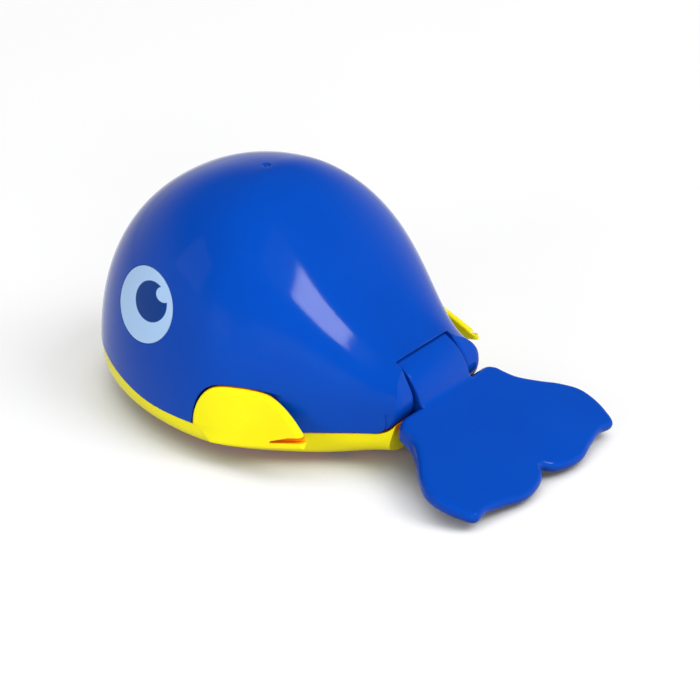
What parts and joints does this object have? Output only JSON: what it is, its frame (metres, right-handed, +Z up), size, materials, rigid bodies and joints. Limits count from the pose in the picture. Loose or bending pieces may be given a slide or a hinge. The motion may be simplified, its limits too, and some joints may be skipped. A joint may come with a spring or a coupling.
{
  "type": "wind-up bath toy",
  "caption": "Clockwork bath whale: domed hull on a flat belly with side fins, and hinged tail flukes that beat up and down from a crank wound by a knob under the belly.",
  "frame": {"origin": "centre of the overall box in plan, at the floor the belly stands on", "axes": "+X from the nose to the tail, +Y to the whale's right, +Z up"},
  "size_m": [0.128, 0.08, 0.0595],
  "materials": {
    "blue_plastic": "polished moulding",
    "yellow_plastic": "polished moulding",
    "eye_print": "printed inlay",
    "white_plastic": "as moulded",
    "steel": "plain",
    "brass": "stamped",
    "black_rubber": "soft"
  },
  "bodies": {
    "hull": {"upper_shell": "blue_plastic", "belly_shell": "yellow_plastic", "eye_left": "eye_print", "eye_right": "eye_print", "tail_hinge_pin": "steel", "gearbox_base": "white_plastic", "gearbox_cover": "white_plastic", "shaft_seal": "black_rubber", "mainspring": "steel", "spring_post": "steel", "shell_screw_1": "steel", "shell_screw_2": "steel", "shell_screw_3": "steel", "shell_screw_4": "steel", "gearbox_screw_1": "steel", "gearbox_screw_2": "steel", "gearbox_screw_3": "steel"},
    "tail": {"tail_flukes": "blue_plastic", "tail_lever": "white_plastic"},
    "crank": {"crank_disc": "white_plastic", "crank_pin": "steel", "crank_arbor": "steel", "crank_pinion": "white_plastic"},
    "second": {"second_arbor": "steel", "second_pinion": "white_plastic", "crown_wheel": "white_plastic"},
    "great": {"great_wheel": "white_plastic", "ratchet_pawl": "steel"},
    "winding": {"winding_knob": "blue_plastic", "knob_screw": "steel", "winding_shaft": "steel", "ratchet_wheel": "brass"}
  },
  "joints": [
    {"name": "tail_swing", "type": "hinge", "parent": "hull", "child": "tail", "pos_m": [0.02479, 0, 0.0165], "axis": [0, -1, 0], "range_deg": [0, 38]},
    {"name": "crank_turn", "type": "hinge", "parent": "hull", "child": "crank", "pos_m": [0.0083, 0, 0.0165], "axis": [1, 0, 0], "range_deg": [-135, 5]},
    {"name": "second_turn", "type": "hinge", "parent": "hull", "child": "second", "pos_m": [-0.00973, 0, 0.021], "axis": [0, 0, 1], "range_deg": [-3, 57]},
    {"name": "great_turn", "type": "hinge", "parent": "hull", "child": "great", "pos_m": [-0.02665, 0, 0.0145], "axis": [0, 0, 1], "range_deg": [-18, 2]},
    {"name": "knob_wind", "type": "hinge", "parent": "hull", "child": "winding", "pos_m": [-0.02665, 0, 0.006], "axis": [0, 0, 1], "continuous": true}
  ],
  "couplings": [
    {"joint": "crank_turn", "follows": "tail_swing", "ratio": -2.841},
    {"joint": "second_turn", "follows": "tail_swing", "ratio": 1.1838},
    {"joint": "great_turn", "follows": "tail_swing", "ratio": -0.36992}
  ]
}
